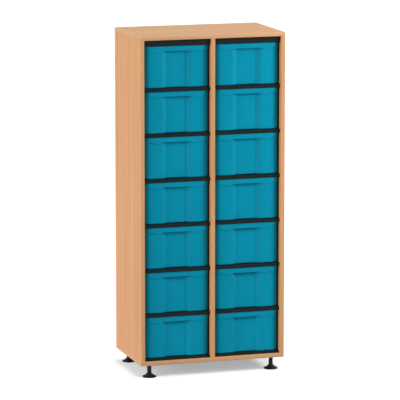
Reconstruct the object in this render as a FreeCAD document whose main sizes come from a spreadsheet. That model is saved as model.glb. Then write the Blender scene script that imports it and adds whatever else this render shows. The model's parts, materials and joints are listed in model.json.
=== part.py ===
import FreeCAD, Part
import math
import os
import re
import Sketcher

# A tall school drawer unit: a board carcass with two columns of seven trays on levelling feet.
# Millimetres. X runs to the right, the front faces -Y, Z is up, and the origin lies on the floor
# under the middle of the carcass.

doc = FreeCAD.newDocument("drawer_unit")
sheet = doc.addObject("Spreadsheet::Sheet", "Sizes")

ROWS = 7
SCREW_ROWS = (0, 3, 6)

SIZES = (
    # Carcass
    ("cabinet_width", 660),
    ("cabinet_depth", 404),
    ("foot_height", 57),
    ("board_thickness", 18),
    ("edging_thickness", 2),
    ("back_thickness", 8),
    ("back_inset", 12),
    ("groove_depth", 8),
    ("groove_clearance", 0.2),
    # Carcass joints
    ("hole_clearance", 0.2),
    ("dowel_diameter", 8),
    ("dowel_in_board", 12),
    ("dowel_in_upright", 24),
    ("dowel_setback", 50),
    ("cam_diameter", 15),
    ("cam_height", 13),
    ("cam_distance", 24),
    ("cam_setback", 90),
    ("bolt_diameter", 6),
    ("bolt_in_board", 11),
    # Runner panels
    ("runner_recess", 26),
    ("runner_web", 1.5),
    ("runner_reach", 7),
    ("runner_strip", 3),
    ("runner_back_gap", 4),
    ("ledge_thickness", 4),
    ("guide_thickness", 3),
    ("side_play", 0.5),
    ("running_clearance", 0.5),
    ("stop_engagement", 1.5),
    ("screw_diameter", 4),
    ("screw_in_board", 8),
    ("screw_setback", 60),
    ("screw_head_diameter", 8),
    ("screw_head_height", 2.2),
    ("screw_height_share", 0.5),
    # Cross rails
    ("rail_recess", 13),
    ("rail_height", 15),
    ("top_rail_height", 27.5),
    ("bottom_rail_height", 10.5),
    ("rail_edge", 1.5),
    ("peg_diameter", 3),
    ("peg_length", 7),
    # Trays
    ("opening_height", 184),
    ("tray_gap", 1),
    ("tray_recess", 20),
    ("tray_rear_gap", 6),
    ("tray_wall", 2.5),
    ("tray_floor", 3),
    ("front_radius", 24),
    ("rear_radius", 20),
    ("bottom_radius", 5),
    ("apron_proud", 3),
    ("apron_centre_drop", 25),
    ("apron_shoulder_drop", 31),
    ("apron_end_drop", 23),
    ("apron_flat_margin", 8),
    ("apron_shoulder_run", 16),
    ("apron_edge_radius", 1.2),
    ("grip_width", 114),
    ("grip_depth", 12),
    ("grip_roof_drop", 9),
    ("grip_edge_radius", 6),
    ("flange_thickness", 3),
    ("flange_rear_reach", 3),
    ("stop_travel", 250),
    ("stop_length", 12),
    # Feet
    ("foot_inset_side", 48),
    ("foot_inset_front", 40),
    ("base_diameter", 62),
    ("base_rim", 3),
    ("base_thickness", 7),
    ("base_shoulder", 6),
    ("hub_diameter", 40),
    ("hub_top_diameter", 24),
    ("hub_height", 17),
    ("socket_floor", 4),
    ("fit_clearance", 0.2),
    ("spindle_diameter", 19),
    ("spindle_edge", 1),
    ("bead_proud", 0.6),
    ("bead_height", 3),
    ("stud_diameter", 10),
    ("stud_reach", 15),
    ("insert_diameter", 14),
    ("insert_cover", 2),
    ("insert_flange_diameter", 26),
    ("insert_flange_thickness", 2),
    # Overrun of every cut past the face that it opens
    ("cut_overrun", 5),
)
for row, (alias, size) in enumerate(SIZES, 1):
    sheet.set(f"A{row}", alias)
    sheet.set(f"B{row}", str(size))
    sheet.setAlias(f"B{row}", alias)
doc.recompute()

# Places and sizes that follow from the sheet, as expressions.
FRONT = "(-cabinet_depth / 2)"
REAR = "(cabinet_depth / 2)"
SIDE = "(cabinet_width / 2)"
INSIDE = "(cabinet_width / 2 - board_thickness)"
COLUMN = "((cabinet_width - 3 * board_thickness) / 2)"
COLUMN_MIDDLE = "((cabinet_width - board_thickness) / 4)"
BACK_FACE = "(cabinet_depth / 2 - back_inset - back_thickness)"
FLOOR = "(foot_height + board_thickness)"
PITCH = "(opening_height + rail_height)"
CLEAR = f"(bottom_rail_height + top_rail_height + {ROWS} * opening_height + {ROWS - 1} * rail_height)"
CEILING = f"({FLOOR} + {CLEAR})"
BODY_FRONT = f"({FRONT} + edging_thickness)"

RUNNER_FRONT = f"({FRONT} + runner_recess)"
RUNNER_REAR = f"({BACK_FACE} - runner_back_gap)"
LUG_REACH = "(runner_web + running_clearance)"
SLOT_START = f"({LUG_REACH} + stop_engagement)"
FLANGE_START = f"({SLOT_START} + running_clearance)"
TRAY_START = "(runner_reach + side_play)"

TRAY_WIDTH = f"({COLUMN} - 2 * {TRAY_START})"
TRAY_HEIGHT = "(opening_height - 2 * tray_gap)"
TRAY_DEPTH = f"({BACK_FACE} - {FRONT} - tray_recess - tray_rear_gap)"


def opening_floor(row):
    """Height of the bottom of a tray opening, counting rows from the top."""
    return f"({FLOOR} + bottom_rail_height + {ROWS - 1 - row} * {PITCH})"


def tray_low(row):
    """Height of the underside of a tray."""
    return f"({opening_floor(row)} + tray_gap)"


def tray_top(row):
    return f"({tray_low(row)} + {TRAY_HEIGHT})"


def bound(text):
    """The expression with every size name taken from the sheet."""
    return re.sub(r"\b([a-z]\w*)", r"Sizes.\1", text)


def number(text):
    return float(sheet.evalExpression(bound(text)))


def bind(obj, **properties):
    for name, text in properties.items():
        obj.setExpression(name, bound(text))


def place(obj, x, y, z):
    for axis, text in zip("xyz", (x, y, z)):
        obj.setExpression(f"Placement.Base.{axis}", bound(text))
    return obj


def box(name, x, y, z, length, width, height):
    solid = doc.addObject("Part::Box", name)
    bind(solid, Length=length, Width=width, Height=height)
    return place(solid, x, y, z)


TURNS = {
    "x": FreeCAD.Rotation(FreeCAD.Vector(0, 1, 0), 90),
    "y": FreeCAD.Rotation(FreeCAD.Vector(-1, 0, 0), 90),
    "z": FreeCAD.Rotation(),
}


def rod(name, x, y, z, diameter, length, along="z"):
    solid = doc.addObject("Part::Cylinder", name)
    bind(solid, Radius=f"({diameter}) / 2", Height=length)
    solid.Placement.Rotation = TURNS[along]
    return place(solid, x, y, z)


def fused(name, shapes):
    joined = doc.addObject("Part::MultiFuse", name)
    joined.Shapes = shapes
    joined.Refine = True
    return joined


def cut(name, base, tools):
    result = doc.addObject("Part::Cut", name)
    result.Base = base
    result.Tool = fused(f"{name}_cutters", tools) if len(tools) > 1 else tools[0]
    return result


def group(name, shapes):
    gathered = doc.addObject("Part::Compound", name)
    gathered.Links = shapes
    return gathered


def linked(name, master, x, y, z):
    copy = doc.addObject("App::Link", name)
    copy.LinkedObject = master
    copy.LinkTransform = False
    return place(copy, x, y, z)


# Sketches and features of the bodies.
def new_body(name):
    return doc.addObject("PartDesign::Body", name)


def new_sketch(body, name, plane, lift="0"):
    sketch = body.newObject("Sketcher::SketchObject", name)
    support = next(item for item in body.Origin.OriginFeatures if item.Role == plane)
    sketch.AttachmentSupport = (support, [""])
    sketch.MapMode = "FlatFace"
    sketch.setExpression("AttachmentOffset.Base.z", bound(lift))
    return sketch


def pin_point(sketch, geometry, end, x, y):
    """Hold one end of a curve, or a centre, at a place given by two expressions."""
    for kind, axis, text in (("DistanceX", -2, x), ("DistanceY", -1, y)):
        if text == "0":
            sketch.addConstraint(Sketcher.Constraint("PointOnObject", geometry, end, axis))
        else:
            index = sketch.addConstraint(
                Sketcher.Constraint(kind, -1, 1, geometry, end, number(text)))
            sketch.setExpression(f"Constraints[{index}]", bound(text))


def vector(x, y):
    return FreeCAD.Vector(number(x), number(y), 0)


def polygon(sketch, corners):
    """A closed outline of straight lines through the given corners."""
    lines = []
    for start, end in zip(corners, corners[1:] + corners[:1]):
        lines.append(sketch.addGeometry(Part.LineSegment(vector(*start), vector(*end)), False))
    for line, following in zip(lines, lines[1:] + lines[:1]):
        sketch.addConstraint(Sketcher.Constraint("Coincident", line, 2, following, 1))
    for line, corner in zip(lines, corners):
        pin_point(sketch, line, 1, *corner)


def rounded_outline(sketch, half, front, rear, front_radius, rear_radius):
    """A rectangle about the Y axis with its front and rear corners rounded."""
    corners = (
        (f"-({half})", front, front_radius, 1, 1, 180),
        (half, front, front_radius, -1, 1, 270),
        (half, rear, rear_radius, -1, -1, 0),
        (f"-({half})", rear, rear_radius, 1, -1, 90),
    )
    arcs = []
    for x, y, radius, x_sign, y_sign, start in corners:
        centre = (f"{x} + {x_sign} * ({radius})", f"{y} + {y_sign} * ({radius})")
        circle = Part.Circle(vector(*centre), FreeCAD.Vector(0, 0, 1), number(radius))
        arc = Part.ArcOfCircle(circle, math.radians(start), math.radians(start + 90))
        arcs.append((sketch.addGeometry(arc, False), centre, radius))
    lines = []
    for (arc, _, _), (following, _, _) in zip(arcs, arcs[1:] + arcs[:1]):
        ends = [sketch.getPoint(arc, 2), sketch.getPoint(following, 1)]
        line = sketch.addGeometry(Part.LineSegment(*ends), False)
        sketch.addConstraint(Sketcher.Constraint("Tangent", arc, 2, line, 1))
        sketch.addConstraint(Sketcher.Constraint("Tangent", line, 2, following, 1))
        lines.append(line)
    for line, kind in zip(lines, ("Horizontal", "Vertical", "Horizontal")):
        sketch.addConstraint(Sketcher.Constraint(kind, line))
    for arc, centre, radius in arcs[::2]:
        pin_point(sketch, arc, 3, *centre)
    for arc, _, radius in arcs[:3]:
        index = sketch.addConstraint(Sketcher.Constraint("Radius", arc, number(radius)))
        sketch.setExpression(f"Constraints[{index}]", bound(radius))


def circle(sketch, x, y, diameter):
    shape = Part.Circle(vector(x, y), FreeCAD.Vector(0, 0, 1), number(diameter) / 2)
    index = sketch.addGeometry(shape, False)
    pin_point(sketch, index, 3, x, y)
    size = sketch.addConstraint(Sketcher.Constraint("Diameter", index, number(diameter)))
    sketch.setExpression(f"Constraints[{size}]", bound(diameter))


def feature(body, kind, name, sketch, length, backwards=False):
    made = body.newObject(f"PartDesign::{kind}", name)
    made.Profile = sketch
    made.Reversed = backwards
    bind(made, Length=length)
    sketch.Visibility = False
    doc.recompute()
    return made


def revolved(body, name, sketch):
    made = body.newObject("PartDesign::Revolution", name)
    made.Profile = sketch
    made.ReferenceAxis = (sketch, ["V_Axis"])
    made.Angle = 360
    doc.recompute()
    return made


def rounded_edges(body, name, base, radius, wanted):
    """Round the edges of the last feature that the test picks out."""
    names = [f"Edge{i}" for i, edge in enumerate(base.Shape.Edges, 1) if wanted(edge)]
    made = body.newObject("PartDesign::Fillet", name)
    made.Base = (base, names)
    bind(made, Radius=radius)
    doc.recompute()
    return made


NEAR = 1e-4


def level(edge, height):
    """Whether the whole edge lies at one height."""
    limits = edge.BoundBox
    return abs(limits.ZMin - height) < NEAR and abs(limits.ZMax - height) < NEAR


nodes = []


def node(obj, label):
    obj.Label = label
    nodes.append(obj)
    return obj


# Carcass joints: dowels and cam fittings where each upright meets the top and bottom panels.
UPRIGHTS = (
    ("left", f"(-{SIDE} + board_thickness / 2)", 1),
    ("middle", "0", 1),
    ("right", f"({SIDE} - board_thickness / 2)", -1),
)
PLACES = (("front", f"({FRONT} + %s)"), ("rear", f"({REAR} - %s)"))
dowels, discs, bolts = [], [], []
joint_holes = {"top": [], "bottom": [], "left": [], "middle": [], "right": []}
for upright, x, face in UPRIGHTS:
    for end, joint, up in (("top", CEILING, 1), ("bottom", FLOOR, -1)):
        for spot, setback in PLACES:
            name = f"{upright}_{end}_{spot}"
            y = setback % "dowel_setback"
            low = f"({joint} - {'dowel_in_upright' if up > 0 else 'dowel_in_board'})"
            length = "(dowel_in_upright + dowel_in_board)"
            dowels.append(rod(f"dowel_{name}", x, y, low, "dowel_diameter", length))
            hole = rod(f"dowel_hole_{name}", x, y, f"{low} - hole_clearance",
                       "dowel_diameter + hole_clearance", f"{length} + 2 * hole_clearance")

            y = setback % "cam_setback"
            axis = f"({joint} - {up} * cam_distance)"
            low = axis if up > 0 else f"({joint} - bolt_in_board)"
            length = "(cam_distance + bolt_in_board)"
            bolts.append(rod(f"bolt_{name}", x, y, low, "bolt_diameter", length))
            bore = rod(f"bolt_hole_{name}", x, y, f"{low} - hole_clearance",
                       "bolt_diameter + hole_clearance", f"{length} + 2 * hole_clearance")

            inner = f"({x} + {face} * board_thickness / 2)"
            start = f"{inner} - cam_height" if face > 0 else inner
            disc = rod(f"cam_{name}", start, y, axis, "cam_diameter", "cam_height", "x")
            discs.append(cut(f"cam_cut_{name}", disc, [bore]))
            reach = f"{start} - {'hole_clearance' if face > 0 else 'cut_overrun'}"
            pocket = rod(f"cam_pocket_{name}", reach, y, axis, "cam_diameter + hole_clearance",
                         "cam_height + hole_clearance + cut_overrun", "x")
            joint_holes[upright] += [hole, bore, pocket]
            joint_holes[end] += [hole, bore]
node(group("dowel_group", dowels), "carcass_dowels")
node(group("disc_group", discs), "cam_discs")
node(group("bolt_group", bolts), "cam_bolts")

# Back panel, and the groove that it stands in.
SPREAD = f"({INSIDE} + groove_depth)"
back = box("back", f"-{SPREAD} + groove_clearance", BACK_FACE,
           f"{FLOOR} - groove_depth + groove_clearance",
           f"2 * ({SPREAD} - groove_clearance)", "back_thickness",
           f"{CLEAR} + 2 * (groove_depth - groove_clearance)")
node(back, "back_panel")
groove = box("back_groove", f"-{SPREAD}", f"{BACK_FACE} - groove_clearance",
             f"{FLOOR} - groove_depth", f"2 * {SPREAD}",
             "back_thickness + 2 * groove_clearance", f"{CLEAR} + 2 * groove_depth")

# Runner screws: pan heads on the webs, shanks in the boards.
COLUMNS = (("left", f"-{COLUMN_MIDDLE}"), ("right", COLUMN_MIDDLE))
SCREW_PLACES = (("front", f"({RUNNER_FRONT} + screw_setback)"),
                ("rear", f"({RUNNER_REAR} - screw_setback)"))
WALLS = (("left", f"(- {COLUMN} / 2)", 1), ("right", f"({COLUMN} / 2)", -1))
BOARD_OF = {("left", "left"): "left", ("left", "right"): "middle",
            ("right", "left"): "middle", ("right", "right"): "right"}
screws = []
screw_holes = {"left": [], "middle": [], "right": []}
web_holes = {}


def across(wall, face, near, far):
    """X start and length of what lies between two distances from the board, into the column."""
    start = f"{wall} + {near}" if face > 0 else f"{wall} - ({far})"
    return start, f"{far} - ({near})"


for column, middle in COLUMNS:
    for side, offset, face in WALLS:
        wall = f"({middle} + {offset})"
        holes = web_holes.setdefault((column, side), [])
        for row in SCREW_ROWS:
            z = f"({opening_floor(row)} + screw_height_share * opening_height)"
            for spot, y in SCREW_PLACES:
                name = f"{column}_{side}_{row}_{spot}"
                start, length = across(wall, face, "(-screw_in_board)", "runner_web")
                shank = rod(f"shank_{name}", start, y, z, "screw_diameter", length, "x")
                start, length = across(wall, face, "runner_web", "(runner_web + screw_head_height)")
                head = rod(f"head_{name}", start, y, z, "screw_head_diameter", length, "x")
                screws.append(fused(f"screw_{name}", [shank, head]))
                start, length = across(wall, face, "(-screw_in_board - hole_clearance)",
                                       "(runner_web + cut_overrun)")
                hole = rod(f"screw_hole_{name}", start, y, z, "screw_diameter + hole_clearance",
                           length, "x")
                holes.append(hole)
                screw_holes[BOARD_OF[column, side]].append(hole)
node(group("screw_group", screws), "runner_screws")

# Foot places, and the holes for the threaded inserts.
CORNERS = tuple((f"{depth}_{width}", f"({x} * ({SIDE} - foot_inset_side))",
                 f"({y} * ({REAR} - foot_inset_front))")
                for depth, y in (("front", -1), ("back", 1))
                for width, x in (("left", -1), ("right", 1)))
INSERT_LENGTH = "(board_thickness - insert_cover)"
insert_holes = [rod(f"insert_hole_{name}", x, y, "foot_height - cut_overrun",
                    "insert_diameter + hole_clearance",
                    f"{INSERT_LENGTH} + hole_clearance + cut_overrun")
                for name, x, y in CORNERS]

# Boards.
BOARD_DEPTH = "(cabinet_depth - edging_thickness)"
BOARD_WIDTH = "(cabinet_width - 2 * edging_thickness)"
for name, base, extra in (("top", CEILING, []), ("bottom", "foot_height", insert_holes)):
    blank = box(f"{name}_blank", f"-{BOARD_WIDTH} / 2", BODY_FRONT, base,
                BOARD_WIDTH, BOARD_DEPTH, "board_thickness")
    node(cut(f"{name}_board", blank, [groove] + joint_holes[name] + extra), f"{name}_panel")
    ring = box(f"{name}_ring", f"-{SIDE}", FRONT, base,
               "cabinet_width", "cabinet_depth", "board_thickness")
    room = box(f"{name}_room", f"-{BOARD_WIDTH} / 2", BODY_FRONT, f"{base} - cut_overrun",
               BOARD_WIDTH, f"{BOARD_DEPTH} + cut_overrun", "board_thickness + 2 * cut_overrun")
    node(cut(f"{name}_band", ring, [room]), f"{name}_edging")
for upright, x, _ in UPRIGHTS:
    label = "centre_divider" if upright == "middle" else f"{upright}_side_panel"
    depth = f"{BACK_FACE} - {BODY_FRONT}" if upright == "middle" else BOARD_DEPTH
    start = f"{x} - board_thickness / 2"
    blank = box(f"{upright}_blank", start, BODY_FRONT, FLOOR, "board_thickness", depth, CLEAR)
    slots = [] if upright == "middle" else [groove]
    node(cut(f"{upright}_board", blank, slots + joint_holes[upright] + screw_holes[upright]), label)
    band = box(f"{upright}_band", start, FRONT, FLOOR, "board_thickness", "edging_thickness", CLEAR)
    node(band, "divider_edging" if upright == "middle" else f"{upright}_side_edging")

# Cross rails: a bar over the column's whole width with two pegs behind it.
RAIL_DEPTH = "(runner_recess - rail_recess)"
PEG_X = "((runner_web + runner_reach) / 2)"


def rail(name, height):
    body = new_body(name)
    sketch = new_sketch(body, f"{name}_profile", "YZ_Plane", f"-{COLUMN} / 2")
    polygon(sketch, [("rail_edge", "0"), (RAIL_DEPTH, "0"), (RAIL_DEPTH, height),
                     ("rail_edge", height), ("0", f"{height} - rail_edge"), ("0", "rail_edge")])
    feature(body, "Pad", f"{name}_bar", sketch, COLUMN)
    sketch = new_sketch(body, f"{name}_pegs", "XZ_Plane", f"-{RAIL_DEPTH}")
    for sign in ("-", ""):
        circle(sketch, f"{sign}({COLUMN} / 2 - {PEG_X})", f"{height} / 2", "peg_diameter")
    feature(body, "Pad", f"{name}_peg_pad", sketch, "peg_length", True)
    return body


def rail_low(index):
    """Height of the underside of a rail, counting from the top."""
    return FLOOR if index == ROWS else f"({opening_floor(index)} + opening_height)"


def rail_size(index):
    """Name of the size that a rail takes its height from."""
    return {0: "top_rail_height", ROWS: "bottom_rail_height"}.get(index, "rail_height")


masters = {}
for index in range(ROWS + 1):
    for column, middle in COLUMNS:
        label = f"{column}_rail_{index}"
        spot = (middle, f"{FRONT} + rail_recess", rail_low(index))
        height = rail_size(index)
        if height in masters:
            node(linked(label, masters[height], *spot), label)
        else:
            masters[height] = place(rail(label, height), *spot)
            node(masters[height], label)

# Runner panels: web, front strip, and a ledge and a guide for each tray.
RUNNER_DEPTH = f"({RUNNER_REAR} - {RUNNER_FRONT})"
for column, middle in COLUMNS:
    for side, offset, face in WALLS:
        wall = f"({middle} + {offset})"
        name = f"{column}_runner_{side}"
        start, length = across(wall, face, "0", "runner_web")
        solids = [box(f"{name}_web", start, RUNNER_FRONT, FLOOR, length, RUNNER_DEPTH, CLEAR)]
        start, length = across(wall, face, "0", "runner_reach")
        solids.append(box(f"{name}_strip", start, RUNNER_FRONT, FLOOR, length, "runner_strip", CLEAR))
        slots = list(web_holes[column, side])
        for row in range(ROWS):
            seat = f"({tray_top(row)} - flange_thickness - running_clearance)"
            roof = f"({tray_top(row)} + running_clearance)"
            start, length = across(wall, face, "0", "runner_reach")
            solids.append(box(f"{name}_ledge_{row}", start, RUNNER_FRONT, f"{seat} - ledge_thickness",
                              length, RUNNER_DEPTH, "ledge_thickness"))
            solids.append(box(f"{name}_guide_{row}", start, RUNNER_FRONT, roof,
                              length, RUNNER_DEPTH, "guide_thickness"))
            start, length = across(wall, face, SLOT_START, "(runner_reach + cut_overrun)")
            slots.append(box(f"{name}_slot_{row}", start, f"{RUNNER_FRONT} - cut_overrun", seat,
                             length, "runner_strip + 2 * cut_overrun", f"{roof} - {seat}"))
        for index in range(ROWS + 1):
            start, _ = across(wall, face, PEG_X, PEG_X)
            slots.append(rod(f"{name}_peg_hole_{index}", start, f"{RUNNER_FRONT} - cut_overrun",
                             f"{rail_low(index)} + {rail_size(index)} / 2",
                             "peg_diameter + hole_clearance",
                             "peg_length + hole_clearance + cut_overrun", "y"))
        node(cut(f"{name}_cut", fused(f"{name}_blank", solids), slots), name)

# Tray: its own origin lies at the middle of the front wall's lower edge.
HALF = f"({TRAY_WIDTH} / 2)"
FLANGE_HALF = f"({COLUMN} / 2 - {FLANGE_START})"
LUG_HALF = f"({COLUMN} / 2 - {LUG_REACH})"
GRIP_HALF = "(grip_width / 2)"
APRON_FLAT = f"({GRIP_HALF} + apron_flat_margin)"
SHOULDER = f"({APRON_FLAT} + apron_shoulder_run)"
APRON_LOW = f"({TRAY_HEIGHT} - apron_shoulder_drop - cut_overrun)"
ROOF = f"({TRAY_HEIGHT} - grip_roof_drop)"
LUG_FRONT = "(runner_recess - tray_recess + runner_strip + running_clearance + stop_travel)"

tray = new_body("left_tray_1")
plan = new_sketch(tray, "apron_plan", "XY_Plane", APRON_LOW)
rounded_outline(plan, HALF, "(-apron_proud)", f"({TRAY_DEPTH} / 2)", "front_radius", "rear_radius")
feature(tray, "Pad", "apron_block", plan, f"{TRAY_HEIGHT} - {APRON_LOW}")
lower_edge = new_sketch(tray, "apron_lower_edge", "XZ_Plane", "cut_overrun + apron_proud")
end_z = f"({TRAY_HEIGHT} - apron_end_drop)"
shoulder_z = f"({TRAY_HEIGHT} - apron_shoulder_drop)"
centre_z = f"({TRAY_HEIGHT} - apron_centre_drop)"
low_z = f"({APRON_LOW} - cut_overrun)"
outline = [(HALF, end_z), (SHOULDER, shoulder_z), (APRON_FLAT, centre_z)]
mirrored = [(f"-{x}", z) for x, z in reversed(outline)]
skirt = [(f"(-{HALF} - cut_overrun)", end_z), (f"(-{HALF} - cut_overrun)", low_z),
         (f"({HALF} + cut_overrun)", low_z), (f"({HALF} + cut_overrun)", end_z)]
polygon(lower_edge, outline + mirrored + skirt)
trimmed = feature(tray, "Pocket", "apron_trim", lower_edge, f"{TRAY_DEPTH} + cut_overrun + apron_proud")


def apron_edges(edge):
    """The front edges of the apron's face, above and below."""
    limits = edge.BoundBox
    return limits.YMax < number("-apron_proud") + NEAR and limits.XLength > NEAR


rounded_edges(tray, "apron_round", trimmed, "apron_edge_radius", apron_edges)
tray_plan = new_sketch(tray, "tray_plan", "XY_Plane")
rounded_outline(tray_plan, HALF, "0", TRAY_DEPTH, "front_radius", "rear_radius")
shell = feature(tray, "Pad", "tray_block", tray_plan, TRAY_HEIGHT)
rounded_edges(tray, "bottom_round", shell, "bottom_radius", lambda edge: level(edge, 0))

FLANGE_LOW = f"({TRAY_HEIGHT} - flange_thickness)"
rim_plan = new_sketch(tray, "flange_plan", "XY_Plane", FLANGE_LOW)
polygon(rim_plan, [(f"-{FLANGE_HALF}", "front_radius"), (FLANGE_HALF, "front_radius"),
                   (FLANGE_HALF, f"({TRAY_DEPTH} + flange_rear_reach)"),
                   (f"-{FLANGE_HALF}", f"({TRAY_DEPTH} + flange_rear_reach)")])
feature(tray, "Pad", "flange", rim_plan, "flange_thickness")
lug_plan = new_sketch(tray, "lug_plan", "XY_Plane", FLANGE_LOW)
polygon(lug_plan, [(f"-{LUG_HALF}", LUG_FRONT), (LUG_HALF, LUG_FRONT),
                   (LUG_HALF, f"({LUG_FRONT} + stop_length)"),
                   (f"-{LUG_HALF}", f"({LUG_FRONT} + stop_length)")])
feature(tray, "Pad", "stop_lugs", lug_plan, "flange_thickness")

room_plan = new_sketch(tray, "room_plan", "XY_Plane", "tray_floor")
rounded_outline(room_plan, f"({HALF} - tray_wall)", "tray_wall", f"({TRAY_DEPTH} - tray_wall)",
                "(front_radius - tray_wall)", "(rear_radius - tray_wall)")
feature(tray, "Pocket", "room", room_plan, f"{TRAY_HEIGHT} - tray_floor + cut_overrun", True)

BUMP_HALF = f"({GRIP_HALF} + tray_wall)"
BUMP_REAR = "(grip_depth + tray_wall)"
bump_plan = new_sketch(tray, "bump_plan", "XY_Plane", "tray_floor")
polygon(bump_plan, [(f"-{BUMP_HALF}", "tray_wall"), (BUMP_HALF, "tray_wall"),
                    (BUMP_HALF, BUMP_REAR), (f"-{BUMP_HALF}", BUMP_REAR)])
feature(tray, "Pad", "grip_bump", bump_plan, f"{ROOF} + tray_wall - tray_floor")
grip_plan = new_sketch(tray, "grip_plan", "XY_Plane", "-cut_overrun")
polygon(grip_plan, [(f"-{GRIP_HALF}", "0"), (GRIP_HALF, "0"),
                    (GRIP_HALF, "grip_depth"), (f"-{GRIP_HALF}", "grip_depth")])
grip = feature(tray, "Pocket", "grip", grip_plan, f"{ROOF} + cut_overrun", True)


def grip_edge(edge):
    """The upright outer edges of the finger field."""
    middle = edge.CenterOfMass
    return (abs(abs(middle.x) - number(GRIP_HALF)) < NEAR and abs(middle.y) < NEAR
            and edge.BoundBox.ZLength > number(TRAY_HEIGHT) / 2)


rounded_edges(tray, "grip_round", grip, "grip_edge_radius", grip_edge)

for row in range(ROWS):
    for column, middle in COLUMNS:
        label = f"{column}_tray_{row + 1}"
        spot = (middle, f"{FRONT} + tray_recess", tray_low(row))
        if label == tray.Name:
            node(place(tray, *spot), label)
        else:
            node(linked(label, tray, *spot), label)

# Levelling feet: a base on the floor, a spindle that turns in it, and an insert in the board.
SPINDLE_TOP = "(foot_height - insert_flange_thickness)"
SOCKET = "((spindle_diameter + fit_clearance) / 2)"
BEAD_LOW = "(socket_floor + bead_height)"
base = new_body("front_left_foot_base")
profile = new_sketch(base, "base_profile", "XZ_Plane")
polygon(profile, [("0", "0"), ("base_diameter / 2", "0"), ("base_diameter / 2", "base_rim"),
                  ("base_diameter / 2 - base_shoulder", "base_thickness"),
                  ("hub_diameter / 2", "base_thickness"), ("hub_top_diameter / 2", "hub_height"),
                  (SOCKET, "hub_height"), (SOCKET, f"{BEAD_LOW} + bead_height + fit_clearance"),
                  (f"{SOCKET} + bead_proud", f"{BEAD_LOW} + bead_height / 2"),
                  (SOCKET, f"{BEAD_LOW} - fit_clearance"),
                  (SOCKET, "socket_floor"), ("0", "socket_floor")])
revolved(base, "base_turn", profile)

spindle = new_body("front_left_foot_spindle")
profile = new_sketch(spindle, "spindle_profile", "XZ_Plane")
RADIUS = "(spindle_diameter / 2)"
polygon(profile, [("0", "socket_floor"), (f"{RADIUS} - spindle_edge", "socket_floor"),
                  (RADIUS, "socket_floor + spindle_edge"), (RADIUS, BEAD_LOW),
                  (f"{RADIUS} + bead_proud", f"{BEAD_LOW} + bead_height / 2"),
                  (RADIUS, f"{BEAD_LOW} + bead_height"),
                  (RADIUS, f"{SPINDLE_TOP} - spindle_edge"), (f"{RADIUS} - spindle_edge", SPINDLE_TOP),
                  ("stud_diameter / 2", SPINDLE_TOP), ("stud_diameter / 2", "foot_height + stud_reach"),
                  ("0", "foot_height + stud_reach")])
revolved(spindle, "spindle_turn", profile)

inserts = []
for name, x, y in CORNERS:
    for master, piece in ((base, "base"), (spindle, "spindle")):
        label = f"{name}_foot_{piece}"
        if label == master.Name:
            node(place(master, x, y, "0"), label)
        else:
            node(linked(label, master, x, y, "0"), label)
    barrel = rod(f"barrel_{name}", x, y, "foot_height", "insert_diameter", INSERT_LENGTH)
    flange = rod(f"collar_{name}", x, y, SPINDLE_TOP, "insert_flange_diameter",
                 "insert_flange_thickness")
    bore = rod(f"bore_{name}", x, y, f"{SPINDLE_TOP} - cut_overrun", "stud_diameter + fit_clearance",
               f"insert_flange_thickness + {INSERT_LENGTH} + 2 * cut_overrun")
    inserts.append(cut(f"insert_{name}", fused(f"insert_blank_{name}", [barrel, flange]), [bore]))
node(group("insert_group", inserts), "foot_inserts")

# Every piece is checked, then written to its own file.
doc.recompute()
for item in doc.Objects:
    if {"Invalid", "Error"} & set(item.State):
        raise RuntimeError(f"{item.Label} did not compute: {item.State}")
os.makedirs("parts", exist_ok=True)
for item in nodes:
    shape = Part.getShape(item)
    if shape.isNull() or not shape.isValid():
        raise RuntimeError(f"{item.Label} has no valid shape")
    shape.exportStep(f"parts/{item.Label}.step")
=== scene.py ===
# %% [markdown]
# A tall school drawer unit: a beech-decor carcass with two columns of blue-green trays on levelling
# feet. The construction comes ready as a fixed frame in metres, with the front facing -Y. This
# lesson dresses it: it sets the camera and the light, mixes the finishes, and models again the
# pieces whose rounded edges and moulded forms show from close by.

# %% Load the frame
import json
import math
import bmesh
import bpy
from mathutils import Matrix, Vector


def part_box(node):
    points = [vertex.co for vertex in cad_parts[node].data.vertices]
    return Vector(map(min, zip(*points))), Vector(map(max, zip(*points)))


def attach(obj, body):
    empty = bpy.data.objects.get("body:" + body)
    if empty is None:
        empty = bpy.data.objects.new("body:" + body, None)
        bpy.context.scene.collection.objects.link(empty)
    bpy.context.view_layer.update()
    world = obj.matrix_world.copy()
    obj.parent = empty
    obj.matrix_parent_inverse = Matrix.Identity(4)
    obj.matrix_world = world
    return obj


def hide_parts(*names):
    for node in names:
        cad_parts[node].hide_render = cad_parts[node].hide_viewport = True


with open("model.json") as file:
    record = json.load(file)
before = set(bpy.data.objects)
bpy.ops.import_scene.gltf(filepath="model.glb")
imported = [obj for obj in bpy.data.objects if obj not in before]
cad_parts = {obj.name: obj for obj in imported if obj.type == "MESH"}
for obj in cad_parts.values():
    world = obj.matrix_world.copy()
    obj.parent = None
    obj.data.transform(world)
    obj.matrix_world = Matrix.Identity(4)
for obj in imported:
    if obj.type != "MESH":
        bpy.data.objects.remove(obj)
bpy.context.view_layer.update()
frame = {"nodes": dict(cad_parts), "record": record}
nodes = frame["nodes"]

# %% [markdown]
# The photograph was taken from far away with a long lens, a little from the left and from above.
# The camera is placed from a few numbers that a fit to the cabinet's corners gave: how far it turns,
# how far it looks down, how far away it stands, how long its lens is and what it aims at. A
# photographer would find them by walking round the object; here they are set directly.

# %% Camera
TURN = math.radians(17.39)
LOOK_DOWN = math.radians(9.6)
DISTANCE = 13.27
LENS_MM, SENSOR_MM = 268.9, 36
AIM = Vector((0.0027, 0.0, 0.7484))

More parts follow.
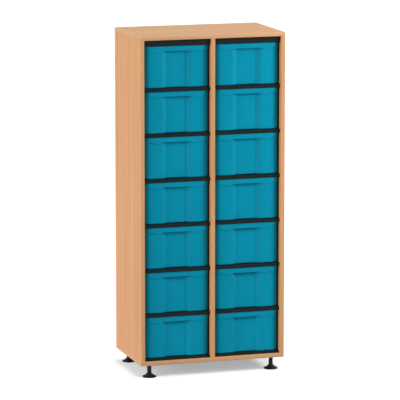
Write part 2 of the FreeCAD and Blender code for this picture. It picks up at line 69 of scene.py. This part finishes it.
sight = Vector((math.sin(TURN) * math.cos(LOOK_DOWN), math.cos(TURN) * math.cos(LOOK_DOWN),
                -math.sin(LOOK_DOWN)))
bpy.ops.object.camera_add(location=AIM - DISTANCE * sight,
                          rotation=(math.pi / 2 - LOOK_DOWN, 0, -TURN))
camera = bpy.context.object
camera.data.lens = LENS_MM
camera.data.sensor_width = SENSOR_MM
bpy.context.scene.camera = camera
bpy.context.scene.view_settings.view_transform = "Standard"
print("camera at", [round(value, 2) for value in camera.location])

# %% [markdown]
# A product photograph like this is taken among white walls. A pale world gives their even light from
# all round. What shows behind the cabinet is whiter than that light: a Light Path node tells the rays
# that see the background from those that carry light, so the background can be white without more
# light on the cabinet.

# %% Light: the room
ROOM_LEVEL, BACKDROP_LEVEL = 0.30, 1.0
scene = bpy.context.scene


def seen_rays(tree):
    """1 for rays that show the background: from the camera, in a mirror or through glass."""
    path = tree.nodes.new("ShaderNodeLightPath")
    found = path.outputs["Is Camera Ray"]
    for kind in ("Is Glossy Ray", "Is Transmission Ray"):
        either = tree.nodes.new("ShaderNodeMath")
        either.operation = "MAXIMUM"
        tree.links.new(found, either.inputs[0])
        tree.links.new(path.outputs[kind], either.inputs[1])
        found = either.outputs[0]
    return found


def add_background(tree, strength):
    """A white background shader of the given strength."""
    background = tree.nodes.new("ShaderNodeBackground")
    background.inputs["Color"].default_value = (1, 1, 1, 1)
    background.inputs["Strength"].default_value = strength
    return background


world = bpy.data.worlds.new("white_studio")
scene.world = world
world.use_nodes = True
tree = world.node_tree
tree.nodes.clear()
room = add_background(tree, ROOM_LEVEL)
backdrop = add_background(tree, BACKDROP_LEVEL)
choice = tree.nodes.new("ShaderNodeMixShader")
surface = tree.nodes.new("ShaderNodeOutputWorld")
tree.links.new(seen_rays(tree), choice.inputs[0])
tree.links.new(room.outputs[0], choice.inputs[1])
tree.links.new(backdrop.outputs[0], choice.inputs[2])
tree.links.new(choice.outputs[0], surface.inputs["Surface"])
print("room:", ROOM_LEVEL, "of white, backdrop:", BACKDROP_LEVEL)

# %% [markdown]
# Three lamps do the rest. A low, soft sun from the left lights the cabinet's side. A narrow sun from
# almost straight above whitens the floor and the top, and keeps the shadow on the floor close to the
# cabinet. An area lamp stands to the right in front of the trays, higher than the cabinet: because it
# is near, the upper rows get more of it than the lower ones, as in the photograph.

# %% Light: the lamps
SUN_AWAY = 3
LAMP_PLACE, LAMP_AIM = Vector((2.5, -1.62, 2.1)), Vector((0, -0.2, 1.9))
LAMP_WIDTH, LAMP_HEIGHT, LAMP_WATTS = 0.8, 1.2, 73


def shine_from(lamp, direction):
    """Turn a lamp so that its light comes from the given direction."""
    lamp.rotation_euler = direction.to_track_quat("Z", "Y").to_euler()


def add_sun(name, direction, strength, softness):
    """A sun in the given direction; the softness is its width in degrees."""
    bpy.ops.object.light_add(type="SUN", location=Vector(direction) * SUN_AWAY)
    sun = bpy.context.object
    sun.name = name
    shine_from(sun, Vector(direction))
    sun.data.energy = strength
    sun.data.angle = math.radians(softness)


add_sun("side_light", direction=(-0.89, -0.34, 0.22), strength=2.66, softness=50)
add_sun("top_light", direction=(0.012, -0.008, 1.0), strength=1.0, softness=3)
bpy.ops.object.light_add(type="AREA", location=LAMP_PLACE)
front_light = bpy.context.object
front_light.name = "front_light"
shine_from(front_light, LAMP_PLACE - LAMP_AIM)
front_light.data.shape = "RECTANGLE"
front_light.data.size, front_light.data.size_y = LAMP_WIDTH, LAMP_HEIGHT
front_light.data.energy = LAMP_WATTS

# %% [markdown]
# The floor is one wide sheet of white paper that keeps the cabinet's soft shadow. A little glow of
# its own, only for the rays that see the background, brings the open paper up to white without more
# light on the cabinet. For light that bounces, the paper is a dull grey, so that it throws little of
# it back up at the boards.

# %% Floor
FLOOR_SIZE = 160
PAPER_SEEN, PAPER_BOUNCED = (0.95, 0.95, 0.95, 1), (0.22, 0.22, 0.22, 1)
GLOW_TINT, GLOW_LEVEL = (0.89, 0.95, 1.0, 1), 0.37
# places of a Mix node's colour sockets, which share their names with those for numbers
MIX_A, MIX_B, MIX_RESULT = 6, 7, 2

bpy.ops.object.select_all(action="DESELECT")
bpy.ops.mesh.primitive_plane_add(size=FLOOR_SIZE, location=(0, 0, 0))
floor = bpy.context.object
floor.name = "paper_floor"
paper = bpy.data.materials.new("white_paper")
paper.use_nodes = True
tree = paper.node_tree
tree.nodes.clear()
diffuse = tree.nodes.new("ShaderNodeBsdfDiffuse")
tone = tree.nodes.new("ShaderNodeMix")
tone.data_type = "RGBA"
tone.inputs[MIX_A].default_value = PAPER_BOUNCED
tone.inputs[MIX_B].default_value = PAPER_SEEN
glow = tree.nodes.new("ShaderNodeEmission")
glow.inputs["Color"].default_value = GLOW_TINT
level = tree.nodes.new("ShaderNodeMath")
level.operation = "MULTIPLY"
level.inputs[1].default_value = GLOW_LEVEL
total = tree.nodes.new("ShaderNodeAddShader")
surface = tree.nodes.new("ShaderNodeOutputMaterial")
seen = seen_rays(tree)
tree.links.new(seen, level.inputs[0])
tree.links.new(seen, tone.inputs[0])
tree.links.new(tone.outputs[MIX_RESULT], diffuse.inputs["Color"])
tree.links.new(level.outputs[0], glow.inputs["Strength"])
tree.links.new(diffuse.outputs[0], total.inputs[0])
tree.links.new(glow.outputs[0], total.inputs[1])
tree.links.new(total.outputs[0], surface.inputs["Surface"])
floor.data.materials.append(paper)
print("floor:", floor.name, FLOOR_SIZE, "m wide")

# %% [markdown]
# Every finish is a small node tree that reads Object coordinates, so a pattern goes along with its
# piece when a tray slides out. A few helpers save repeating the wiring: one starts a finish, one
# adds a noise stretched along an axis, one lays colours over a grey value, and one presses a grey
# value into the surface as a bump.


# %% Helpers for the finishes
def new_finish(name, colour, roughness):
    """A material with its shader ready, and the node that gives the place on the object."""
    material = bpy.data.materials.new(name)
    material.use_nodes = True
    shader = material.node_tree.nodes["Principled BSDF"]
    shader.inputs["Base Color"].default_value = (*colour, 1)
    shader.inputs["Roughness"].default_value = roughness
    place = material.node_tree.nodes.new("ShaderNodeTexCoord")
    return material, shader, place


def add_noise(material, place, stretch, detail, distortion=0.0):
    """A noise whose spots per metre are given for each axis."""
    tree = material.node_tree
    mapping = tree.nodes.new("ShaderNodeMapping")
    mapping.inputs["Scale"].default_value = stretch
    tree.links.new(place.outputs["Object"], mapping.inputs["Vector"])
    noise = tree.nodes.new("ShaderNodeTexNoise")
    noise.inputs["Scale"].default_value = 1.0
    noise.inputs["Detail"].default_value = detail
    noise.inputs["Distortion"].default_value = distortion
    tree.links.new(mapping.outputs["Vector"], noise.inputs["Vector"])
    return noise


def add_ramp(material, value, stops):
    """Colours, or greys, laid over a value from 0 to 1."""
    tree = material.node_tree
    ramp = tree.nodes.new("ShaderNodeValToRGB")
    while len(ramp.color_ramp.elements) < len(stops):
        ramp.color_ramp.elements.new(0.5)
    for element, (spot, colour) in zip(ramp.color_ramp.elements, stops):
        element.position = spot
        element.color = (*colour, 1)
    tree.links.new(value.outputs[0], ramp.inputs[0])
    return ramp


def add_bump(material, shader, height, depth, strength):
    """Press a grey value into the surface, as deep as given in metres."""
    tree = material.node_tree
    bump = tree.nodes.new("ShaderNodeBump")
    bump.inputs["Distance"].default_value = depth
    bump.inputs["Strength"].default_value = strength
    tree.links.new(height.outputs[0], bump.inputs["Height"])
    tree.links.new(bump.outputs["Normal"], shader.inputs["Normal"])


def grey(value):
    """A colour of three equal parts."""
    return (value, value, value)


def shade(colour, factor):
    """The colour made darker or paler, and never brighter than white."""
    return tuple(min(1.0, part * factor) for part in colour)


# %% [markdown]
# The boards carry a printed beech decor: a calm, pale, slightly pink brown with broad soft bands
# and thousands of short dark flecks along the grain. Two stretched noises give both, a slow one
# for the bands and a fine one for the flecks, which also press a shallow bump into the surface.
# A picture of a board would do too, but noises need no file and never repeat. The uprights have
# their grain upright, the top and bottom along their length.

# %% Beech decor
BEECH = (0.765, 0.362, 0.151)
BEECH_ROUGHNESS, BEECH_SHEEN = 0.48, 0.18
BANDS_PER_METRE, FLECKS_PER_METRE = (26, 26, 1.1), (620, 620, 46)
FLECK_TINT, FLECK_WEIGHT = (0.80, 0.70, 0.62, 1), 0.55
FLECK_DEPTH = 0.0002


def beech(name, tint, along):
    """Beech decor whose grain runs along x or z."""
    material, shader, place = new_finish(name, tint, BEECH_ROUGHNESS)
    shader.inputs["Specular IOR Level"].default_value = BEECH_SHEEN
    tree = material.node_tree
    slow, fine = BANDS_PER_METRE, FLECKS_PER_METRE
    if along == "x":
        slow, fine = slow[::-1], fine[::-1]
    bands = add_noise(material, place, slow, detail=6, distortion=0.35)
    tones = ((0.30, shade(tint, 0.90)), (0.50, tint), (0.72, shade(tint, 1.07)))
    colours = add_ramp(material, bands, tones)
    flecks = add_noise(material, place, fine, detail=2)
    marks = add_ramp(material, flecks, ((0.56, grey(0.0)), (0.70, grey(1.0))))
    weight = tree.nodes.new("ShaderNodeMath")
    weight.operation = "MULTIPLY"
    weight.inputs[1].default_value = FLECK_WEIGHT
    mix = tree.nodes.new("ShaderNodeMix")
    mix.data_type = "RGBA"
    mix.blend_type = "MULTIPLY"
    mix.inputs[MIX_B].default_value = FLECK_TINT
    tree.links.new(marks.outputs[0], weight.inputs[0])
    tree.links.new(weight.outputs[0], mix.inputs[0])
    tree.links.new(colours.outputs[0], mix.inputs[MIX_A])
    tree.links.new(mix.outputs[MIX_RESULT], shader.inputs["Base Color"])
    gloss = add_ramp(material, bands, ((0.25, grey(0.54)), (0.75, grey(0.42))))
    tree.links.new(gloss.outputs[0], shader.inputs["Roughness"])
    add_bump(material, shader, marks, depth=FLECK_DEPTH, strength=0.25)
    return material


# for each finish, its tint and the axis of its grain
WOODS = {
    "beech_upright": (BEECH, "z"),
    # beech_level is the uprights' decor made darker: painted shade on the top and bottom boards
    "beech_level": ((0.613, 0.329, 0.132), "x"),
    "edging_upright": ((0.738, 0.392, 0.183), "z"),
    "edging_level": ((0.735, 0.415, 0.208), "x"),
    "back_board": (shade(BEECH, 0.97), "z"),
    "dowel_wood": (shade(BEECH, 1.05), "z"),
}
finishes = {name: beech(name, tint, along) for name, (tint, along) in WOODS.items()}
print("wood finishes:", sorted(finishes))

# %% [markdown]
# The trays are injection-moulded. Their blue-green runs through the plastic and the mould leaves a fine
# leathery texture; their rounded edges get a paler tone, a painted highlight. The black runner panels
# and rails have a coarser, duller texture, and the feet are dull black too. All of them are the same
# kind of stuff, so one recipe serves them with other numbers.

# %% Plastics
CLOUDS_PER_METRE = (9, 9, 9)
# for each plastic: colour, roughness, grains per metre, depth of the grain in metres, sheen
PLASTICS = {
    "tray_plastic": ((0.0005, 0.310, 0.468), 0.36, 1500, 0.00006, 0.095),
    # tray_edge is the tray plastic made paler: a painted highlight on the rounded edges
    "tray_edge": ((0.008, 0.365, 0.520), 0.34, 1500, 0.00003, 0.12),
    "runner_plastic": ((0.0080, 0.0092, 0.0098), 0.56, 900, 0.0001, 0.12),
    "rail_plastic": ((0.0075, 0.0100, 0.0110), 0.50, 1100, 0.00008, 0.13),
    "foot_plastic": ((0.0080, 0.0080, 0.0082), 0.52, 1000, 0.0001, 0.17),
    "foot_spindle": ((0.0110, 0.0110, 0.0115), 0.44, 1400, 0.00005, 0.15),
}


def moulded(name, colour, roughness, grain, depth, sheen):
    """Moulded plastic with a fine skin texture and a faint unevenness of colour and gloss."""
    material, shader, place = new_finish(name, colour, roughness)
    shader.inputs["Specular IOR Level"].default_value = sheen
    tree = material.node_tree
    clouds = add_noise(material, place, CLOUDS_PER_METRE, detail=3)
    tones = ((0.3, shade(colour, 0.955)), (0.7, shade(colour, 1.035)))
    colours = add_ramp(material, clouds, tones)
    tree.links.new(colours.outputs[0], shader.inputs["Base Color"])
    skin = add_noise(material, place, (grain, grain, grain), detail=2)
    dull_to_glossy = ((0.35, grey(roughness + 0.05)), (0.65, grey(roughness - 0.04)))
    gloss = add_ramp(material, skin, dull_to_glossy)
    tree.links.new(gloss.outputs[0], shader.inputs["Roughness"])
    add_bump(material, shader, skin, depth, strength=0.25)
    return material


for name, values in PLASTICS.items():
    finishes[name] = moulded(name, *values)
print("plastic finishes:", sorted(PLASTICS))

# %% [markdown]
# Screws, cams and inserts are zinc-plated steel. A metal has hardly any colour of its own; it shows
# by what it mirrors, so a long noise that makes its gloss uneven is enough. With it the finishes
# are complete, and every node of the frame gets the one that the record names for it.

# %% Steel, and the finishes put on
ZINC, BRUSHING_PER_METRE = (0.60, 0.60, 0.62), (900, 900, 40)


def zinc_plate():
    """Bright metal with fine upright brushing."""
    material, shader, place = new_finish("zinc_plate", ZINC, roughness=0.36)
    shader.inputs["Metallic"].default_value = 1.0
    brushing = add_noise(material, place, BRUSHING_PER_METRE, detail=2)
    gloss = add_ramp(material, brushing, ((0.3, grey(0.30)), (0.7, grey(0.46))))
    material.node_tree.links.new(gloss.outputs[0], shader.inputs["Roughness"])
    add_bump(material, shader, brushing, depth=0.00005, strength=0.15)
    return material


finishes["steel"] = zinc_plate()
for part in frame["record"]["subparts"]:
    nodes[part["node"]].material_slots[0].material = finishes[part["material_slot"]]

# %% [markdown]
# Modelling by hand in Blender means adding a primitive, going into edit mode, selecting faces or
# edges and using an operator on them. These helpers do the selecting: each takes a test on a face's
# or an edge's place, so that a step reads like the hand movement that it stands for.

# %% Helpers for selecting
# two places closer than this are one, and a normal at least this much along an axis faces that way
CLOSE, FACING = 1e-5, 0.9


def add_block(name, low, high):
    """A cube stretched between two corners, with its place in its mesh."""
    low, high = Vector(low), Vector(high)
    bpy.ops.object.select_all(action="DESELECT")
    bpy.ops.mesh.primitive_cube_add(size=1, location=(low + high) / 2, scale=high - low)
    bpy.ops.object.transform_apply(location=True, rotation=True, scale=True)
    bpy.context.object.name = name
    return bpy.context.object


def choose(kind, wanted):
    """In edit mode, select the faces or edges that pass the test, and nothing else."""
    bpy.ops.mesh.select_mode(type={"edges": "EDGE", "faces": "FACE"}[kind])
    bpy.ops.mesh.select_all(action="DESELECT")
    mesh = bmesh.from_edit_mesh(bpy.context.edit_object.data)
    for element in getattr(mesh, kind):
        if wanted(element):
            element.select_set(True)
    mesh.select_flush_mode()
    bmesh.update_edit_mesh(bpy.context.edit_object.data)


def middle(element):
    """The middle of a face or an edge."""
    return sum((vert.co for vert in element.verts), Vector()) / len(element.verts)


def same(a, b):
    """Whether two lengths are equal."""
    return abs(a - b) < CLOSE


def upright(edge):
    """Whether an edge runs straight up."""
    a, b = edge.verts
    return same(a.co.x, b.co.x) and same(a.co.y, b.co.y)


def at_height(edge, height):
    """Whether both ends of an edge lie at a height."""
    return all(same(vert.co.z, height) for vert in edge.verts)


# %% [markdown]
# The tray starts as one block at the size of the moulding. Its upright corners are rounded first,
# the front ones wider. Then the top face is inset by the wall and pushed down to the floor, as one
# would hollow a box by hand, and last the lower edges are rounded outside and inside. The tray is
# modelled about its own origin, the middle of the front wall's lower edge.

# %% Tray: the box
WIDTH, DEPTH, HEIGHT = 0.288, 0.358, 0.182
WALL, BOTTOM = 0.0025, 0.003
FRONT_CORNER, REAR_CORNER, FOOT_ROUND = 0.024, 0.020, 0.005

tray = add_block("tray", (-WIDTH / 2, 0, 0), (WIDTH / 2, DEPTH, HEIGHT))
bpy.ops.object.mode_set(mode="EDIT")
choose("edges", lambda edge: upright(edge) and same(middle(edge).y, 0))
bpy.ops.mesh.bevel(offset=FRONT_CORNER, segments=10, affect="EDGES")
choose("edges", lambda edge: upright(edge) and same(middle(edge).y, DEPTH))
bpy.ops.mesh.bevel(offset=REAR_CORNER, segments=8, affect="EDGES")
choose("faces", lambda face: face.normal.z > FACING)
bpy.ops.mesh.inset(thickness=WALL, use_even_offset=True)
bpy.ops.mesh.extrude_region_move(TRANSFORM_OT_translate={"value": (0, 0, BOTTOM - HEIGHT)})
choose("edges", lambda edge: at_height(edge, 0))
bpy.ops.mesh.bevel(offset=FOOT_ROUND, segments=5, affect="EDGES")
choose("edges", lambda edge: at_height(edge, BOTTOM))
bpy.ops.mesh.bevel(offset=FOOT_ROUND - WALL, segments=4, affect="EDGES")
bpy.ops.object.mode_set(mode="OBJECT")
print("tray box:", [round(side, 4) for side in tray.dimensions], len(tray.data.polygons), "faces")

# %% [markdown]
# Flanges along both sides carry the tray on the runner ledges, and a narrower one stiffens the
# back. A cut all round just under the rim gives a band of faces, and the bands on the straight
# parts are pulled outwards.

# %% Tray: the flanges
FLANGE, FLANGE_REACH, REAR_REACH = 0.003, 0.0035, 0.003
LEFT, RIGHT, BACK = Vector((-1, 0, 0)), Vector((1, 0, 0)), Vector((0, 1, 0))

bpy.ops.object.mode_set(mode="EDIT")
bpy.ops.mesh.select_all(action="SELECT")
bpy.ops.mesh.bisect(plane_co=(0, 0, HEIGHT - FLANGE), plane_no=(0, 0, 1))
for way, wall_place, reach in ((LEFT, WIDTH / 2, FLANGE_REACH), (RIGHT, WIDTH / 2, FLANGE_REACH),
                               (BACK, DEPTH, REAR_REACH)):

    def in_band(face):
        spot = middle(face)
        on_wall = face.normal.dot(way) > FACING and same(spot.dot(way), wall_place)
        return on_wall and spot.z > HEIGHT - FLANGE

    choose("faces", in_band)
    bpy.ops.mesh.extrude_region_move(TRANSFORM_OT_translate={"value": way * reach})
bpy.ops.object.mode_set(mode="OBJECT")
print("with flanges:", [round(side, 4) for side in tray.dimensions])

# %% [markdown]
# No moulding has a knife-sharp edge, so every sharp edge gets a small rounding with a paler finish of
# its own, a painted highlight. This comes before the front is joined on, because a join leaves very
# short edges, and the bevel would shrink to fit them.

# %% Tray: the edges
EDGE_ROUND = 0.0007


def use_modifier(piece, kind, **settings):
    """Add a modifier, set it up and apply it."""
    bpy.context.view_layer.objects.active = piece
    modifier = piece.modifiers.new(kind.lower(), kind)
    for name, value in settings.items():
        setattr(modifier, name, value)
    bpy.ops.object.modifier_apply(modifier=modifier.name)


def round_edges(piece, width, segments, angle, material=0):
    """Break every edge that is sharper than the angle with a small rounding."""
    bpy.ops.object.select_all(action="DESELECT")
    piece.select_set(True)
    use_modifier(piece, "BEVEL", width=width, segments=segments, limit_method="ANGLE",
                 angle_limit=math.radians(angle), use_clamp_overlap=True, material=material)


def round_with_painted_highlight(piece):
    """Give a moulded piece its plastic, and its sharp edges a rounding in a paler tone, a painted
    highlight.
    """
    piece.data.materials.append(finishes["tray_plastic"])
    piece.data.materials.append(finishes["tray_edge"])
    round_edges(piece, EDGE_ROUND, segments=2, angle=50, material=1)


# the paler rounding on the edges is a painted highlight
round_with_painted_highlight(tray)
print("with polished edges:", len(tray.data.polygons), "faces")

# %% [markdown]
# The front is as wide as the box, and its ends turn back round the corners. Wall and apron share that
# course, and both have soft shapes that are easier to lead than to carve. So each starts as a flat
# grid, whose columns are led round the outline seen from above: a straight line with an arc at
# either end.

# %% Tray: sheets led round the front
FRONT_HALF, FRONT_ROUND, FRONT_TURN = 0.144, 0.034, math.radians(42)
SHEET_COLUMNS = 144
straight = FRONT_HALF - FRONT_ROUND * math.sin(FRONT_TURN)
run = straight + FRONT_ROUND * FRONT_TURN


def outline(distance):
    """Place on the front outline, seen from above, at a distance from its middle."""
    beyond = max(0.0, abs(distance) - straight)
    angle = beyond / FRONT_ROUND
    along = abs(distance) - beyond + FRONT_ROUND * math.sin(angle)
    return math.copysign(along, distance), FRONT_ROUND * (1 - math.cos(angle))


def front_sheet(name, rows, proud, rise):
    """A sheet led round the front; rise gives the inset and the height of a point."""
    bpy.ops.object.select_all(action="DESELECT")
    bpy.ops.mesh.primitive_grid_add(x_subdivisions=SHEET_COLUMNS, y_subdivisions=rows, size=1)
    sheet = bpy.context.object
    sheet.name = name
    for vert in sheet.data.vertices:
        x, y = outline(vert.co.x * 2 * run)
        inset, height = rise(x, vert.co.y + 0.5)
        vert.co = (x, y - proud + inset, height)
    sheet.data.update()
    bpy.context.view_layer.update()
    return sheet


print("front outline:", round(2 * run, 4), "m long,", round(2 * straight, 4), "m of it straight")

# %% [markdown]
# In its middle the front swings back into a finger field that runs from under the apron down to the
# foot. The rows of its grid go up from the rounded foot to the rim, and each point is set back by as
# much as the field is deep there. The sheet stands a hair in front of the box and ends a hair under
# the rim, so that no two faces lie in one plane when they are joined.

# %% Tray: the shape of the front
FIELD_HALF, FIELD_SLOPE, FIELD_DEPTH = 0.0545, 0.0225, 0.012
FIELD_TOP, ROOF_RISE = 0.173, 0.012
HAIR, FRONT_ROWS = 0.0002, 24


def ease(value, start, end):
    """From 0 at the start to 1 at the end, with a soft beginning and a soft end."""
    share = min(1.0, max(0.0, (value - start) / (end - start)))
    return share * share * (3 - 2 * share)


def front_rise(x, share):
    """A third of the rows for the rounded foot, one for the wall and one for the field's roof."""
    third = min(2, int(share * 3))
    part = share * 3 - third
    roof = FIELD_TOP - ROOF_RISE
    foot = 0.0
    if third == 0:
        foot = FOOT_ROUND * (1 - math.sin(part * math.pi / 2))
        height = FOOT_ROUND * (1 - math.cos(part * math.pi / 2))
    elif third == 1:
        height = FOOT_ROUND + part * (roof - FOOT_ROUND)
    else:
        height = roof + part * (HEIGHT - HAIR - roof)
    field = 1 - ease(abs(x), FIELD_HALF - FIELD_SLOPE / 2, FIELD_HALF + FIELD_SLOPE / 2)
    return foot + FIELD_DEPTH * field * (1 - ease(height, roof, FIELD_TOP)), height


front = front_sheet("front", FRONT_ROWS, HAIR, front_rise)
print("front sheet:", [round(side, 4) for side in front.dimensions])

# %% [markdown]
# The sheet is used twice. A copy pulled forwards into a thick block cuts away all of the box that
# lies in front of it. The sheet itself then gets the wall's thickness and is joined to the box, so
# inside the tray the same swing shows as a soft bump.

# %% Tray: the front joined to the box
CUTTER_REACH = 0.03


def carve(piece, tool, operation):
    """Join a tool to a piece, or cut it out of it, and throw the tool away."""
    bpy.ops.object.select_all(action="DESELECT")
    use_modifier(piece, "BOOLEAN", object=tool, operation=operation, solver="EXACT")
    bpy.data.objects.remove(tool)


cutter = front.copy()
cutter.data = front.data.copy()
scene.collection.objects.link(cutter)
bpy.ops.object.select_all(action="DESELECT")
bpy.context.view_layer.objects.active = cutter
bpy.ops.object.mode_set(mode="EDIT")
bpy.ops.mesh.select_all(action="SELECT")
bpy.ops.mesh.extrude_region_move(TRANSFORM_OT_translate={"value": (0, -CUTTER_REACH, 0)})
bpy.ops.mesh.select_all(action="SELECT")
bpy.ops.mesh.normals_make_consistent(inside=False)
bpy.ops.object.mode_set(mode="OBJECT")
carve(tray, cutter, "DIFFERENCE")
use_modifier(front, "SOLIDIFY", thickness=WALL, offset=-1, use_even_offset=True)
carve(tray, front, "UNION")
print("with its front:", [round(side, 4) for side in tray.dimensions], len(tray.data.polygons), "faces")

# %% [markdown]
# The apron is the strip along the top of the front that the fingers pull. It stands a little proud,
# follows the turned ends, and its lower edge dips beside the field and rises again over it. It could
# be pulled out of the front's own faces, but on a sheet of its own, whose rows run between that
# edge and the rim, the wavy edge comes out smooth.

# %% Tray: the apron
PROUD, APRON_ROWS = 0.003, 6
# stations of the lower edge: distance from the middle, depth under the rim
EDGE_DROPS = ((0.0, 0.0215), (0.063, 0.0215), (0.080, 0.029),
              (0.124, 0.021), (FRONT_HALF, 0.021))


def lower_edge(x):
    """Height of the apron's lower edge, with soft turns between its stations."""
    for (x0, drop0), (x1, drop1) in zip(EDGE_DROPS, EDGE_DROPS[1:]):
        if abs(x) <= x1:
            return HEIGHT - drop0 - (drop1 - drop0) * ease(abs(x), x0, x1)
    return HEIGHT - EDGE_DROPS[-1][1]


def apron_rise(x, share):
    """No inset, and a height between the lower edge and the rim."""
    low = lower_edge(x)
    return 0.0, low + share * (HEIGHT - low)


apron = front_sheet("apron", APRON_ROWS, PROUD, apron_rise)
use_modifier(apron, "SOLIDIFY", thickness=PROUD, offset=-1, use_even_offset=True)
round_with_painted_highlight(apron)
print("apron:", [round(side, 4) for side in apron.dimensions])

# %% [markdown]
# Two small lugs on the flanges meet the runner's front strip when the tray is pulled out. Blocks with
# rounded edges are enough for them. With the apron they are joined to the box, and the tray is
# ready to be copied.

# %% Tray: the lugs
LUG_FRONT, LUG_LENGTH, LUG_REACH = 0.2595, 0.012, 0.0055
SMOOTH_ANGLE = math.radians(35)


def shade_smooth(piece):
    """Shade a piece smoothly, with its flat faces kept flat."""
    bpy.ops.object.select_all(action="DESELECT")
    piece.select_set(True)
    bpy.context.view_layer.objects.active = piece
    bpy.ops.object.shade_smooth_by_angle(angle=SMOOTH_ANGLE)
    use_modifier(piece, "WEIGHTED_NORMAL", keep_sharp=True)


lugs = []
for sign in (-1, 1):
    ends = sorted((sign * (WIDTH / 2 + FLANGE_REACH / 2), sign * (WIDTH / 2 + LUG_REACH)))
    lug = add_block("lug", (ends[0], LUG_FRONT, HEIGHT - FLANGE),
                    (ends[1], LUG_FRONT + LUG_LENGTH, HEIGHT))
    round_with_painted_highlight(lug)
    lugs.append(lug)
bpy.ops.object.select_all(action="DESELECT")
for piece in (tray, apron, *lugs):
    piece.select_set(True)
bpy.context.view_layer.objects.active = tray
bpy.ops.object.join()
shade_smooth(tray)
print("whole tray:", [round(side, 4) for side in tray.dimensions], len(tray.data.polygons), "faces")

# %% [markdown]
# All trays are alike, as from one mould. Each copy has its own mesh, moved to the place that the
# frame gives for that tray, and takes the place of the plain node there. It rides on that tray's
# body, so it slides out with it.


# %% Tray: the copies
def put(piece, body, slot, *stands_for):
    """The finished piece takes the place of its node and moves with its body."""
    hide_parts(*stands_for)
    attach(piece, body)


tray_names = [f"{column}_tray_{row}" for column in ("left", "right") for row in range(1, 8)]
for name in tray_names:
    low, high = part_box(name)
    spot = Vector(((low[0] + high[0]) / 2, low[1] + PROUD, low[2]))
    copy = tray.copy()
    copy.data = tray.data.copy()
    copy.name = f"moulded_{name}"
    copy.data.transform(Matrix.Translation(spot))
    scene.collection.objects.link(copy)
    put(copy, name, "tray_plastic", name)
bpy.data.objects.remove(tray)
print("trays:", len(tray_names), "copies")

# %% [markdown]
# The boards' front edges wear a two-millimetre plastic edging with its corners eased by a router.
# On the uprights it is a plain strip, so a block is the start, and only the two long edges in front
# are bevelled, as the router leaves the ends and the glued side alone.

# %% Edging of the uprights
EASED = 0.0011
UPRIGHT_STRIPS = ("left_side_edging", "right_side_edging", "divider_edging")


def ease_and_put(piece, outer_edge, finish, name):
    """Round the outer edges of some edging, give it its finish and put it on the carcass."""
    bpy.ops.object.mode_set(mode="EDIT")
    choose("edges", outer_edge)
    bpy.ops.mesh.bevel(offset=EASED, segments=4, affect="EDGES")
    bpy.ops.object.mode_set(mode="OBJECT")
    bpy.ops.object.shade_smooth_by_angle(angle=SMOOTH_ANGLE)
    piece.data.materials.append(finishes[finish])
    put(piece, "carcass", finish, name)


for name in UPRIGHT_STRIPS:
    low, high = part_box(name)
    strip = add_block(f"eased_{name}", low, high)

    def strip_edge(edge):
        return upright(edge) and same(middle(edge).y, low[1])

    ease_and_put(strip, strip_edge, "edging_upright", name)
print("edging:", len(UPRIGHT_STRIPS), "strips, eased by", EASED * 1000, "mm")

# %% [markdown]
# On the top and bottom boards the edging runs round three sides. Three bars would show seams at the
# corners, so a whole block loses its top, bottom and back, and Solidify turns the walls that are
# left into one band. Its outer edges are eased as on the strips.

# %% Edging of the top and bottom
EDGING = 0.002
LEVEL_BANDS = ("top_edging", "bottom_edging")

for name in LEVEL_BANDS:
    low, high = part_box(name)
    band = add_block(f"eased_{name}", low, high)
    bpy.ops.object.mode_set(mode="EDIT")
    choose("faces", lambda face: abs(face.normal.z) > FACING or face.normal.y > FACING)
    bpy.ops.mesh.delete(type="FACE")
    bpy.ops.object.mode_set(mode="OBJECT")
    use_modifier(band, "SOLIDIFY", thickness=EDGING, offset=-1, use_even_offset=True)

    def band_edge(edge):
        spot = middle(edge)
        if upright(edge):
            return same(spot.y, low[1])
        outside = same(spot.y, low[1]) or same(abs(spot.x), high[0])
        return outside and at_height(edge, spot.z) and edge.calc_length() > 2 * EDGING

    ease_and_put(band, band_edge, "edging_level", name)
print("edging:", len(LEVEL_BANDS), "bands,", EDGING * 1000, "mm thick")

# %% [markdown]
# A levelling foot is turned work: a wide base with a rounded rim and a hub, and the spindle that
# stands in it. Spin could turn the base from a profile. Here a cylinder is the start, because its
# steps are then easy to read: its top face is pushed up and drawn in, last down again for the
# spindle's socket, and the sharp steps are rounded at the end.

# %% Feet
BASE_RADIUS, BASE_RIM, BASE_ROUND = 0.031, 0.003, 0.0012
# steps of the top face: how far it goes up, and its radius then
BASE_STEPS = ((0.004, 0.025), (0.0, 0.020), (0.010, 0.012), (0.0, 0.0096), (-0.013, 0.0096))


def turned_base(name, spot):
    """A foot base about an upright axis through the spot, standing on the floor."""
    bpy.ops.object.select_all(action="DESELECT")
    bpy.ops.mesh.primitive_cylinder_add(vertices=64, radius=BASE_RADIUS, depth=BASE_RIM,
                                        location=(spot.x, spot.y, BASE_RIM / 2))
    bpy.ops.object.transform_apply(location=True, rotation=True, scale=True)
    base = bpy.context.object
    base.name = name
    bpy.ops.object.mode_set(mode="EDIT")
    choose("faces", lambda face: face.normal.z > FACING)
    radius = BASE_RADIUS
    for rise, next_radius in BASE_STEPS:
        ratio = next_radius / radius
        bpy.ops.mesh.extrude_region_move(TRANSFORM_OT_translate={"value": (0, 0, rise)})
        bpy.ops.transform.resize(value=(ratio, ratio, 1), center_override=(spot.x, spot.y, 0))
        radius = next_radius
    bpy.ops.object.mode_set(mode="OBJECT")
    round_edges(base, BASE_ROUND, segments=4, angle=20)
    shade_smooth(base)
    return base


foot_names = [name for name in nodes if name.endswith("_foot_base")]
for name in foot_names:
    low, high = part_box(name)
    base = turned_base(f"turned_{name}", (Vector(low) + Vector(high)) / 2)
    base.data.materials.append(finishes["foot_plastic"])
    put(base, name, "foot_plastic", name)
print("feet:", len(foot_names), "turned bases")
